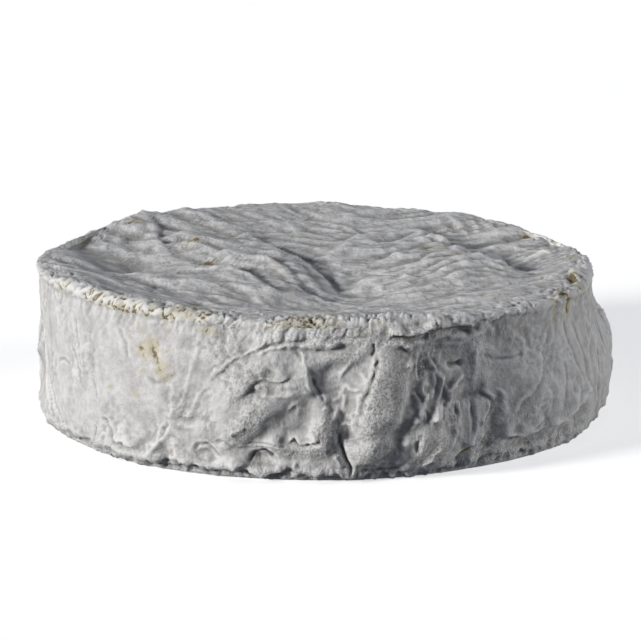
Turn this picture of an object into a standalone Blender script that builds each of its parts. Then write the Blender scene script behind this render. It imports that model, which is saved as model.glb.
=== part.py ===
"""A small soft-ripened cheese wheel with a white rind, as one closed solid.

The wheel rests on Z = 0 with its round face up, and its box is centred on the Z axis.
Lengths are in metres and angles in degrees. An angle round the wheel is 0 at the front
(-Y) and grows towards the right (+X).
"""

import math
from collections import namedtuple

import bpy

MM = 0.001

# Driving dimensions
BELLY_RADIUS = 54.0 * MM
WHEEL_HEIGHT = 29.2 * MM
EDGE_INSET = 0.5 * MM  # how far the top edge and the foot stand in from the belly
RIM_ROUND = 1.8 * MM
FOOT_ROUND = 3.4 * MM

# The upper face has sunk inside its rim while the wheel ripened
SINK_DEPTH = 1.3 * MM
SINK_STARTS = 0.93  # share of the radius where the rim's inner slope begins
SINK_ENDS = 0.70  # share of the radius where the slope has reached the sunken floor
TILT_RISE = 0.8 * MM  # the upper edge's rise above its mean on the high side
TILT_TOWARDS = -125.0  # angle of the high side, at the back left

# Where the growth of the outline and of the upper face fades out, as shares of the radius
# and of the height. Below LIFT_STARTS the foot keeps its plain, flat form.
SPREAD_STARTS = 0.3
LIFT_STARTS = 0.35

# Mesh density
SEGMENTS = 96
FLOOR_RINGS = 14
SIDE_ROWS = 7
ROUND_STEPS = 3
MERGE_DISTANCE = 0.01 * MM

RIND_COLOUR = (0.72, 0.71, 0.68, 1.0)
RIND_ROUGHNESS = 0.9

# Slow waves in the outline: how many lobes, how high, and the angle of one crest
Lobe = namedtuple("Lobe", "count height crest")
OUTLINE_LOBES = (
    Lobe(2, 0.35 * MM, 75.0),
    Lobe(3, 0.30 * MM, 20.0),
    Lobe(5, 0.22 * MM, 130.0),
    Lobe(8, 0.14 * MM, 12.0),
)

# Rises and hollows of the upper face, as ovals on the plan: where, how long and how wide
# to the point where they have mostly faded, how far the long way is turned from +X, and
# how high, or how deep where the height is negative
Oval = namedtuple("Oval", "x y length width turn height")
TOP_OVALS = (
    Oval(-36 * MM, 1 * MM, 11 * MM, 8 * MM, 100, -1.5 * MM),  # left bowl
    Oval(-29 * MM, 17 * MM, 7 * MM, 5 * MM, 30, 0.8 * MM),  # knuckle behind the bowl
    Oval(-15 * MM, 5 * MM, 15 * MM, 5 * MM, -55, 1.2 * MM),  # long fold, left of centre
    Oval(-17 * MM, -10 * MM, 12 * MM, 4 * MM, -45, 0.5 * MM),  # low fold before it
    Oval(3 * MM, -17 * MM, 13 * MM, 7 * MM, -80, -1.1 * MM),  # valley at the centre
    Oval(15 * MM, 8 * MM, 17 * MM, 10 * MM, -50, 1.3 * MM),  # broad hill, right of centre
    Oval(36 * MM, 5 * MM, 9 * MM, 6 * MM, 110, -1.6 * MM),  # right bowl
    Oval(27 * MM, 28 * MM, 7 * MM, 5 * MM, 150, -1.0 * MM),  # back bowl
    Oval(24 * MM, -19 * MM, 14 * MM, 4 * MM, 20, -0.9 * MM),  # trough inside the front rim
    Oval(-6 * MM, 29 * MM, 13 * MM, 5 * MM, 165, -0.6 * MM),  # dip at the back
    Oval(-14 * MM, -28 * MM, 14 * MM, 5 * MM, -35, -0.7 * MM),  # trough at the front left
)

# Swellings and hollows of the side: angle and height, half length along the side, half
# height, and how far out, or in where it is negative
Swelling = namedtuple("Swelling", "angle height length rise out")
SIDE_SWELLINGS = (
    Swelling(90, 10 * MM, 24 * MM, 8 * MM, 2.4 * MM),  # belly on the right
    Swelling(84, 24 * MM, 26 * MM, 7 * MM, -1.9 * MM),  # slack upper edge above it
    Swelling(-45, 2 * MM, 30 * MM, 5 * MM, 1.2 * MM),  # foot spreading at the front left
    Swelling(-88, 15 * MM, 26 * MM, 8 * MM, -0.9 * MM),  # flat flank on the left
    Swelling(-12, 12 * MM, 7 * MM, 5 * MM, 0.8 * MM),  # powdery mound
    Swelling(9, 17 * MM, 4 * MM, 8 * MM, 1.1 * MM),  # tall mound near the front
    Swelling(6, 6.5 * MM, 4 * MM, 3 * MM, 0.8 * MM),  # small mound under it
    Swelling(27, 20 * MM, 9 * MM, 5 * MM, -1.0 * MM),  # hollow under the loose flap
    Swelling(22, 26.5 * MM, 10 * MM, 2.5 * MM, 0.8 * MM),  # loose flap of rind
    Swelling(48, 12 * MM, 11 * MM, 7 * MM, 0.7 * MM),  # flat cheek
    Swelling(140, 14 * MM, 16 * MM, 8 * MM, 0.9 * MM),  # bulge at the back right
    Swelling(168, 20 * MM, 10 * MM, 5 * MM, -0.8 * MM),  # hollow beside it
    Swelling(-160, 10 * MM, 13 * MM, 6 * MM, 0.9 * MM),  # bulge at the back
    Swelling(-128, 17 * MM, 10 * MM, 8 * MM, -0.6 * MM),  # hollow at the back left
)


def clear_scene():
    for obj in list(bpy.data.objects):
        bpy.data.objects.remove(obj)


def smooth_step(low, high, value):
    """0 below low, 1 above high, and an even S between them; low may be the greater."""
    share = min(1.0, max(0.0, (value - low) / (high - low)))
    return share * share * (3 - 2 * share)


def half_section():
    """(radius, height) points of the plain wheel, from the top's centre to the foot's."""
    rim_radius = BELLY_RADIUS - EDGE_INSET
    floor_radius = rim_radius - RIM_ROUND
    points = [(floor_radius * i / FLOOR_RINGS, WHEEL_HEIGHT) for i in range(FLOOR_RINGS)]
    for i in range(ROUND_STEPS + 1):
        turn = math.radians(90 * i / ROUND_STEPS)
        points.append((
            floor_radius + RIM_ROUND * math.sin(turn),
            WHEEL_HEIGHT - RIM_ROUND * (1 - math.cos(turn)),
        ))
    side_top = WHEEL_HEIGHT - RIM_ROUND
    for i in range(1, SIDE_ROWS):
        share = i / SIDE_ROWS
        points.append((
            rim_radius + EDGE_INSET * math.sin(math.pi * share),
            side_top + (FOOT_ROUND - side_top) * share,
        ))
    for i in range(ROUND_STEPS + 1):
        turn = math.radians(90 * i / ROUND_STEPS)
        points.append((
            rim_radius - FOOT_ROUND * (1 - math.cos(turn)),
            FOOT_ROUND * (1 - math.sin(turn)),
        ))
    points.append((0.0, 0.0))
    return points


def turned_mesh():
    """The plain wheel, turned from its half section by a Screw modifier."""
    points = half_section()
    outline = bpy.data.meshes.new("half_section")
    edges = [(i, i + 1) for i in range(len(points) - 1)]
    outline.from_pydata([(radius, 0, height) for radius, height in points], edges, [])
    blank = bpy.data.objects.new("blank", outline)
    bpy.context.scene.collection.objects.link(blank)
    screw = blank.modifiers.new("turn", "SCREW")
    screw.axis = "Z"
    screw.angle = math.tau
    screw.steps = SEGMENTS
    screw.render_steps = SEGMENTS
    screw.use_merge_vertices = True
    screw.merge_threshold = MERGE_DISTANCE
    graph = bpy.context.evaluated_depsgraph_get()
    mesh = bpy.data.meshes.new_from_object(blank.evaluated_get(graph))
    bpy.data.objects.remove(blank)
    return mesh


def outline_growth(angle):
    """How far the outline stands out of a true circle at this angle."""
    return sum(
        lobe.height * math.cos(math.radians(lobe.count * (angle - lobe.crest)))
        for lobe in OUTLINE_LOBES
    )


def swelling_growth(angle, height):
    """How far the side's swellings push it out at this angle and height."""
    growth = 0.0
    for swelling in SIDE_SWELLINGS:
        turned = (angle - swelling.angle + 180) % 360 - 180
        along = math.radians(turned) * BELLY_RADIUS / swelling.length
        up = (height - swelling.height) / swelling.rise
        growth += swelling.out * math.exp(-along * along - up * up)
    return growth


def top_relief(x, y):
    """Height of the upper face above the plain wheel's, at a point of the plan."""
    share = math.hypot(x, y) / BELLY_RADIUS
    height = -SINK_DEPTH * smooth_step(SINK_STARTS, SINK_ENDS, share)
    for oval in TOP_OVALS:
        turn = math.radians(oval.turn)
        right, back = x - oval.x, y - oval.y
        along = (right * math.cos(turn) + back * math.sin(turn)) / oval.length
        across = (back * math.cos(turn) - right * math.sin(turn)) / oval.width
        height += oval.height * math.exp(-along * along - across * across)
    high_side = math.radians(TILT_TOWARDS)
    towards = (x * math.sin(high_side) - y * math.cos(high_side)) / BELLY_RADIUS
    return height + TILT_RISE * towards


def ripen(mesh):
    """Moves the plain wheel's points to where a ripe wheel's are. The foot stays flat."""
    for vertex in mesh.vertices:
        x, y, z = vertex.co
        radius = math.hypot(x, y)
        if radius > 0:
            angle = math.degrees(math.atan2(x, -y))
            spread = smooth_step(SPREAD_STARTS, 1.0, radius / BELLY_RADIUS)
            growth = spread * (outline_growth(angle) + swelling_growth(angle, z))
            vertex.co.x += x / radius * growth
            vertex.co.y += y / radius * growth
        vertex.co.z += smooth_step(LIFT_STARTS, 1.0, z / WHEEL_HEIGHT) * top_relief(x, y)


def centre_on_axis(mesh):
    """Slides the mesh so that its box is centred on the Z axis."""
    for axis in (0, 1):
        places = [vertex.co[axis] for vertex in mesh.vertices]
        middle = (min(places) + max(places)) / 2
        for vertex in mesh.vertices:
            vertex.co[axis] -= middle


def rind_material():
    material = bpy.data.materials.new("white_rind")
    material.use_nodes = True
    shader = material.node_tree.nodes["Principled BSDF"]
    shader.inputs["Base Color"].default_value = RIND_COLOUR
    shader.inputs["Roughness"].default_value = RIND_ROUGHNESS
    shader.inputs["Metallic"].default_value = 0.0
    return material


def make_wheel():
    mesh = turned_mesh()
    mesh.name = "cheese_wheel"
    ripen(mesh)
    centre_on_axis(mesh)
    mesh.materials.clear()
    mesh.materials.append(rind_material())
    mesh.shade_smooth()
    collection = bpy.data.collections.new("cheese_wheel")
    bpy.context.scene.collection.children.link(collection)
    wheel = bpy.data.objects.new("cheese_wheel", mesh)
    collection.objects.link(wheel)
    return wheel


clear_scene()
make_wheel()
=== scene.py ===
"""The looks of a small soft-ripened cheese wheel: its wrinkled white rind, and a plain stage.

The plain form of the wheel comes from the frame. The rind is laid over it as a fine mesh, and
its folds, creases, mounds and scales are pressed into that mesh by formula. Lengths in the
tables below are in millimetres. Angles round the wheel are in degrees, 0 at the front (-Y),
growing towards the right (+X).
"""

import math
from collections import namedtuple
from functools import lru_cache
from itertools import product

import bmesh
import bpy
import numpy as np
from bpy.props import FloatProperty, FloatVectorProperty, IntProperty, PointerProperty
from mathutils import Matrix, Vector
from mathutils.bvhtree import BVHTree


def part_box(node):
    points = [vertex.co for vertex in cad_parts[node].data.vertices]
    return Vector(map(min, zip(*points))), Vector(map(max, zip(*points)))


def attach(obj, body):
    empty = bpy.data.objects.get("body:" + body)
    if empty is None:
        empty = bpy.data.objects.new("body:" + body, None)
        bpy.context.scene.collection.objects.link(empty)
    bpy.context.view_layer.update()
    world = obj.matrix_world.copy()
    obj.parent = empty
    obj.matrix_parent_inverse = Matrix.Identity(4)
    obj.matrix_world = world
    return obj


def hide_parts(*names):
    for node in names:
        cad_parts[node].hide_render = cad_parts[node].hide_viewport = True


bl_info = {
    "name": "Soft-ripened Cheese Wheel",
    "version": (1, 0, 0),
    "blender": (4, 5, 0),
    "location": "View3D > Sidebar > Cheese",
    "description": "Builds the rind of a small cheese wheel and a plain stage for it",
    "category": "Add Mesh",
}

MM = 0.001
WHEEL_NODE = "cheese_wheel"

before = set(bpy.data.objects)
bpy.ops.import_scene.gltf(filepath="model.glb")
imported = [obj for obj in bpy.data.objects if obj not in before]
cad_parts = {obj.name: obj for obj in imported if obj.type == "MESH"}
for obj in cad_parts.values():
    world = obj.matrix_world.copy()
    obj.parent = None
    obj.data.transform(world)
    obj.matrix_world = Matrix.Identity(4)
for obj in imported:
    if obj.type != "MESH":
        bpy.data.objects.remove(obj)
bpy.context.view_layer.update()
wheel_low, wheel_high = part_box(WHEEL_NODE)
WHEEL_HEIGHT = (wheel_high.z - wheel_low.z) / MM
WHEEL_RADIUS = (wheel_high.x - wheel_low.x) / 2 / MM

# Radii of the rounded rim and foot, in millimetres
RIM_ROUND = 0.8
FOOT_ROUND = 3.0
EDGE_CLEAR = 3.2  # how far off an edge the form of a face is read from the frame

# How the rind's mesh is divided
RIM_ROWS = 4
FOOT_ROWS = 8
UNDER_RINGS = (0.98, 0.94, 0.86, 0.7, 0.45, 0.15)
RING_CROWD = 0.12  # how much the upper face's rings crowd towards the rim
SMOOTH_ROUNDS = 12  # rounds of smoothing, which take out the flat facets of the frame's form

# A crease or crest is told from the mean of the points round it, so many edges away, and
# is at its strongest from these depths on, in millimetres. Creases are given painted shade
# and crests a painted highlight
FINE_ROUNDS, BROAD_ROUNDS = 3, 14
FINE_CREASE_SHADE, FINE_CREST_HIGHLIGHT, BROAD_DEPTH = 0.07, 0.06, 0.45

# Stretches of the rim and side that differ from the rest: the angle in their middle and
# how far they reach to both sides
LEFT_CHEEK = (-62, 52)
RIGHT_CHEEK = (64, 36)
SMOOTH_RIM = (12, 34)
ROLLED_RIM = (8, 42)
RAISED_RIM = (-45, 45)
OCHRE_LEFT = (-34, 50)
OCHRE_RIGHT = (54, 24)
PLEATS = (-4, 17)
# painted light: the stretch of pleats at the front that is painted lighter
PAINTED_LIGHT_PLEATS = (-5, 14)
LOOSE_FLAP = (22, 20)
CALM_FOOT = (-60, 40)
TORN_FOOT = (-20, 50)

# Scales round the rim, coarse ones and fine ones: their size, height and seed
SCALES = ((2.5, 0.45, 3), (1.4, 0.35, 4))
PLEAT_SIZE, PLEAT_LENGTH, PLEAT_SEED = 2.0, 5.0, 5

# A lip, ridge or crease drawn along points. On the side they are (angle, height), on the
# upper face (x, y). The raised edge of a lip is on the left of the way the points run.
Fold = namedtuple("Fold", "form height width points")
# A rise, or a hollow where its height is negative: an oval with its long way turned from
# the horizontal, or from +X, and a steeper edge for a higher power
Mound = namedtuple("Mound", "across up length width turn height power", defaults=(1,))
# A place where the white mould is thin and the ochre rind shows
Stain = namedtuple("Stain", "across up length width turn strength")


def lip(height, width, *points):
    return Fold("lip", height, width, points)


def ridge(height, width, *points):
    return Fold("ridge", height, width, points)


def crease(height, width, *points):
    return Fold("crease", height, width, points)


SIDE_FOLDS = (
    # the long diagonal flap at the front left, with a fine double edge
    lip(0.5, 0.35, (-22.6, 17.4), (-20, 19.8), (-17.8, 21.3), (-14.6, 23.4), (-12, 25),
        (-9.4, 27.4)),
    crease(0.25, 0.35, (-22.8, 18.2), (-21.2, 20.2), (-18.6, 21.9), (-15.6, 23.5), (-13, 25.2)),
    ridge(0.4, 0.5, (-27, 10), (-25.5, 13), (-23.3, 16.4)),
    crease(0.3, 0.4, (-24.6, 14.6), (-22.6, 16.2), (-21.6, 17)),
    # the ridge that ends the pleats under the rim, and the groove above it
    ridge(0.5, 0.5, (-13.8, 23.1), (-11.9, 24.3), (-7.4, 24.9), (0.6, 25.6), (4.5, 26.2),
        (10.5, 26.6)),
    crease(0.7, 0.5, (-12.6, 24.4), (-8.6, 25.4), (-4.4, 25.9), (-2.4, 25.8)),
    crease(0.6, 0.5, (-1.4, 26), (2, 26.4), (6.4, 26.7), (9.4, 27.4)),
    crease(0.3, 0.4, (-12, 23.8), (-9.4, 24.4), (-6.4, 24.2)),
    # the flap at the middle left, with a dark fold under it
    lip(0.65, 0.4, (-15.9, 14.8), (-13.6, 17.6), (-12.1, 18.9), (-7.6, 18.6), (-5.2, 20.3)),
    ridge(0.4, 0.3, (-13.2, 17.1), (-11.6, 18.2), (-9, 18.3), (-7.3, 17.9)),
    crease(0.25, 0.35, (-8.6, 17.4), (-6, 17.2), (-4, 17.6)),
    ridge(0.3, 0.5, (-12.4, 16.6), (-8.6, 16.2), (-4.4, 16.4)),
    # a thick upright fold between two dark lines
    crease(0.5, 0.35, (-5.4, 24), (-4.4, 23.1), (-3.8, 22)),
    ridge(0.9, 0.75, (-4.6, 24.4), (-3.5, 22.2), (-2.9, 19.8), (-2.8, 18), (-1.6, 15.6)),
    crease(0.6, 0.35, (-2.4, 20.4), (-1.7, 18.2), (-0.8, 16), (-0.1, 14.8)),
    crease(0.3, 0.3, (-3.6, 18.4), (-2.4, 16.8), (-1.2, 15.2)),
    lip(0.5, 0.35, (-4.4, 24.8), (-1.6, 24.4), (1, 24.9), (3.4, 26)),
    # tatters between the fold and the tall mound
    ridge(0.5, 0.35, (3.1, 15.2), (3.7, 17.6), (3.2, 19.8), (4.4, 21.8), (5.6, 23.2)),
    ridge(0.6, 0.35, (3.8, 18.6), (5.2, 17.6), (7, 17.6)),
    ridge(0.45, 0.3, (6.2, 20.8), (6.8, 19.6), (7.6, 18.6)),
    ridge(0.5, 0.3, (3.2, 17.4), (2.6, 16), (1.2, 15)),
    ridge(0.7, 0.4, (2.6, 15), (2.2, 13.4), (1.6, 11.8)),
    ridge(0.6, 0.35, (4.2, 16.8), (3.6, 15), (3.4, 13)),
    ridge(0.7, 0.4, (6.4, 16.6), (6, 14.4), (5.4, 12.2), (5.2, 10.6)),
    crease(0.8, 0.35, (6, 16), (5.4, 13.6), (4.8, 11.6)),
    ridge(0.5, 0.35, (-0.8, 13.8), (0.4, 13.9), (0.9, 13.2)),
    # the edge at the left of the tall mound, up to the rim
    crease(0.7, 0.4, (5.2, 10), (6.2, 12.6), (7.2, 15.4), (8.2, 18.4), (9.2, 21.8), (9.8, 24.6),
        (11, 26.6)),
    ridge(0.6, 0.4, (8.4, 22), (9.4, 23.4), (10.2, 25.6)),
    crease(0.6, 0.4, (8.8, 26), (9, 24.6), (8.6, 23.4)),
    ridge(0.5, 0.35, (10.6, 26.6), (10.2, 28), (11.4, 28.9), (12.4, 28)),
    lip(0.4, 0.4, (13.4, 26), (14.8, 24.8), (16.4, 24.9)),
    # the deep crack down to the foot
    crease(1.3, 0.5, (1.3, 11.6), (2.5, 9.4), (3.4, 7.2), (4.2, 5), (4.8, 2.8), (5, 0.6)),
    ridge(0.5, 0.35, (2.6, 10), (3.8, 11), (4.8, 10.6), (5.4, 9.4)),
    ridge(0.5, 0.35, (2.2, 5.6), (2.8, 4.4), (3.1, 3)),
    # crisp ledges of powder
    lip(0.8, 0.35, (-6.8, 7.6), (-5.4, 8.6), (-4.4, 7.6), (-2.2, 7.9), (-0.6, 8.4)),
    lip(0.45, 0.4, (-15.5, 7.4), (-12, 7.9), (-9.4, 7.7), (-7, 7.4)),
    ridge(0.5, 0.35, (-6.8, 13.6), (-5.8, 14.6), (-4.4, 14.8)),
    ridge(0.5, 0.4, (-17.6, 8.4), (-15.8, 10), (-14, 10.8)),
    crease(0.5, 0.5, (-20.6, 7.4), (-19, 7.4), (-17.6, 6.6), (-16, 6.9)),
    # the crisp upper edges of the two rounded hollows over the foot
    crease(1, 0.4, (-25.8, 3.8), (-24.8, 5.8), (-22.8, 6.3), (-20.8, 5.2), (-19.4, 4.2)),
    crease(1, 0.4, (-14.4, 3.2), (-13.4, 5.2), (-11.4, 5.9), (-9.6, 4.6), (-9, 3.2)),
    lip(0.4, 0.6, (-20, 6), (-15, 6.6), (-11, 7), (-6, 6.4)),
    ridge(0.4, 0.5, (8.6, 3.6), (11, 4.1), (15.1, 3.9)),
    crease(0.5, 0.5, (6.6, 2.6), (10, 2.6), (15.5, 2.6)),
    # right of the tall mound: a thin upright ridge, lumps and ragged flakes
    ridge(0.7, 0.35, (17, 24.6), (17.6, 22.6), (17.7, 20), (17.8, 17.8)),
    crease(0.4, 0.35, (18.5, 23.6), (18.5, 20.6), (18.6, 18.2)),
    lip(0.6, 0.4, (14.4, 25), (15.6, 24), (16.6, 24.6)),
    ridge(0.9, 0.4, (20.2, 18.4), (18.6, 16.8), (18.9, 15.2), (17.6, 13), (17.8, 11.2)),
    ridge(1.1, 0.4, (28.4, 18.2), (26.4, 17), (24.7, 15.8), (24.2, 14), (24.6, 12.6)),
    ridge(1, 0.4, (23.8, 18.6), (22.4, 17), (21.9, 15.4), (20.9, 13.9), (20.2, 11.6),
        (19.9, 9.8)),
    ridge(1, 0.4, (22.6, 10.8), (22, 8.8), (21.6, 6.8), (20.3, 4.4), (18.8, 2.4)),
    ridge(0.5, 0.4, (26.6, 10.8), (25.2, 9), (24.6, 6.8), (23.4, 4.6)),
    ridge(0.8, 0.35, (18.6, 14.4), (19.6, 15.6), (21.4, 16.4)),
    ridge(0.8, 0.3, (19.2, 17.8), (20.4, 16.2), (20, 14.4)),
    ridge(0.8, 0.3, (22.8, 16.8), (24.2, 15), (24.4, 13.4)),
    ridge(0.8, 0.3, (26, 18), (25, 16.2), (23.2, 15.2)),
    ridge(0.7, 0.3, (20.8, 19.6), (21.3, 17.4), (20.2, 15.2)),
    ridge(0.7, 0.3, (16.6, 16.6), (17.4, 15), (16.8, 13.2)),
    ridge(0.6, 0.3, (16.6, 12.8), (16.4, 10.8), (15.2, 9.4)),
    ridge(0.9, 0.35, (16.6, 23.2), (15.4, 22), (15.2, 20.4), (15.9, 19)),
    crease(0.6, 0.35, (18, 13.6), (19, 12.4), (19.4, 10.6)),
    crease(0.7, 0.35, (23, 14), (22.6, 12.4), (22.8, 10.4)),
    crease(0.4, 0.35, (20.4, 22.6), (21.6, 20.8), (22.4, 18.6)),
    ridge(0.5, 0.35, (20.9, 20.6), (22.2, 18.8), (22.6, 16.6)),
    ridge(0.5, 0.35, (22, 22.4), (23.2, 20.6), (24.6, 19.4)),
    crease(0.9, 0.5, (24.2, 20.6), (26, 20.1), (28.2, 20.1)),
    ridge(1, 0.7, (21.4, 14.2), (21, 12.4), (20.3, 10.4)),
    ridge(0.6, 0.4, (16, 10.6), (17, 11.4), (17.8, 10.4)),
    crease(0.6, 0.4, (18, 9.4), (17.4, 7.4), (17.6, 5.4)),
    ridge(0.6, 0.4, (23.2, 13.2), (24, 13), (24.2, 12.2)),
    crease(0.45, 0.3, (26, 13.4), (26, 12), (25.9, 10.8)),
    ridge(0.5, 0.3, (26.6, 13.6), (26.6, 12), (26.5, 10.8)),
    crease(0.45, 0.3, (27.3, 13.4), (27.3, 12), (27.2, 11)),
    lip(0.6, 0.4, (24.4, 2.4), (26.4, 4), (28.4, 5.2), (30, 5)),
    crease(0.5, 0.35, (30.2, 14.6), (29.4, 11.6), (29.8, 9), (28.9, 5.8)),
    ridge(0.7, 0.3, (31.4, 4.4), (32.2, 7), (31.9, 9.2), (33.2, 11.6), (32.6, 13.8)),
    crease(0.7, 0.3, (31.9, 4.4), (32.8, 7), (32.5, 9.2), (33.8, 11.6), (33.2, 13.8)),
    ridge(0.6, 0.35, (34.6, 15.4), (36.4, 14), (37, 12), (36.6, 9.6)),
    ridge(0.4, 0.35, (38.6, 10), (40.4, 12.4), (42.6, 13.6)),
    lip(0.5, 0.4, (31.4, 15), (33, 14), (34.4, 12.4)),
    crease(0.4, 0.4, (36.4, 13.8), (37, 12.2), (36.6, 10.8)),
    # the loose flap of rind at the front right, and the radial folds at its end
    lip(1.2, 0.4, (11, 26.1), (13, 27), (17, 26.6), (20.5, 27), (25, 27.2), (29, 26.9),
        (30.6, 26.2)),
    ridge(1, 0.3, (11.4, 27), (13, 27.6), (17, 27.2), (20.5, 27.6), (25, 27.8), (29, 27.5)),
    crease(0.8, 0.6, (14, 26.2), (18, 25.7), (20.4, 26.2)),
    crease(0.9, 0.6, (23.5, 26.2), (27, 26.1), (30, 25.7)),
    lip(0.5, 0.35, (20, 25), (23.4, 25.2), (24.6, 26), (26, 26.5)),
    ridge(0.4, 0.45, (22, 23.9), (26, 23.9), (29.5, 24.8), (33.4, 25.6)),
    crease(0.35, 0.6, (14, 28.4), (19, 28.2), (24, 28.5)),
    ridge(0.6, 0.35, (28.8, 26.8), (29, 28), (31.2, 29.4)),
    ridge(0.6, 0.35, (30, 26.2), (30.6, 27.6), (33, 29.2)),
    ridge(0.65, 0.35, (31.2, 25.8), (32.2, 27.2), (35, 28.6)),
    lip(0.8, 0.35, (31.6, 25.2), (33, 26.5), (35, 27.2), (37, 28.2)),
    # long creases over the flat cheek at the right
    crease(0.5, 0.35, (33.2, 21.4), (34.2, 20.6), (38, 20.1), (43.2, 20.1)),
    ridge(0.5, 1.6, (30, 15.6), (31, 20), (31.6, 24)),
    lip(0.3, 0.8, (41, 12), (45, 15.6), (47.6, 20), (50.4, 24)),
    crease(0.4, 0.45, (56, 26.5), (56.6, 22), (58, 17.4), (60.5, 12), (61.4, 10)),
    crease(0.3, 0.4, (53.4, 18.6), (53.4, 13), (52.6, 9.6)),
    crease(0.25, 0.6, (60, 24), (62, 19), (64, 13)),
    lip(1.4, 0.5, (33, 3), (37, 5.6), (42, 5.2), (50, 5.6), (56, 7.2), (62, 9.4), (68, 9)),
    crease(1, 0.5, (58.6, 7.4), (60.6, 8), (62.6, 9.4)),
    crease(0.4, 0.6, (68, 24), (72, 17), (70, 10), (73, 5)),
    crease(0.35, 0.6, (81, 22), (79, 15), (83, 8)),
    # quiet creases at the left
    crease(0.7, 0.7, (-82, 20), (-78.5, 14.8), (-74, 11), (-70, 7), (-66.8, 1.5)),
    crease(0.5, 0.5, (-72, 12), (-67.6, 7.4), (-63.8, 4), (-62, 1.6)),
    crease(0.4, 0.4, (-57.8, 25.2), (-57.2, 21), (-56.2, 18.6)),
    crease(0.3, 0.4, (-59.2, 19.6), (-57.4, 16.4), (-55, 11.6)),
    crease(0.2, 0.5, (-52, 14.4), (-50.4, 12.4), (-50, 10.2)),
    crease(0.25, 0.4, (-66, 14.4), (-62.2, 15.4), (-60, 14.8)),
    crease(0.9, 0.4, (-49.6, 7.2), (-47.4, 7.4), (-45.8, 6), (-43.8, 3.8), (-41.6, 3.6)),
    crease(1.2, 0.45, (-50.2, 6), (-50, 4.4), (-50.6, 2.4)),
    ridge(0.6, 0.6, (-48.6, 2), (-47, 5), (-45.4, 3)),
    lip(1, 0.4, (-43.8, 3), (-42, 4.2), (-40.4, 3.4), (-37.6, 3.4)),
    ridge(0.7, 0.6, (-36.6, 1.6), (-34.4, 3.6), (-32.4, 6.6), (-30.6, 8)),
    crease(0.3, 0.6, (-44, 25), (-41.6, 22.4), (-41, 19.6)),
    crease(0.25, 0.7, (-36.6, 17), (-32.6, 16.4), (-29, 18.4)),
    ridge(0.35, 1, (-31.6, 8), (-28.4, 14), (-25.6, 21), (-24, 27)),
    crease(0.9, 0.5, (-33.2, 5.6), (-31.6, 8.4), (-31, 9.8)),
    crease(0.4, 0.9, (-29, 10.4), (-25.6, 10.6), (-21.6, 10.9)),
    crease(0.35, 0.9, (-29.4, 8.6), (-27, 8.5), (-24, 8.8)),
)

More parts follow.
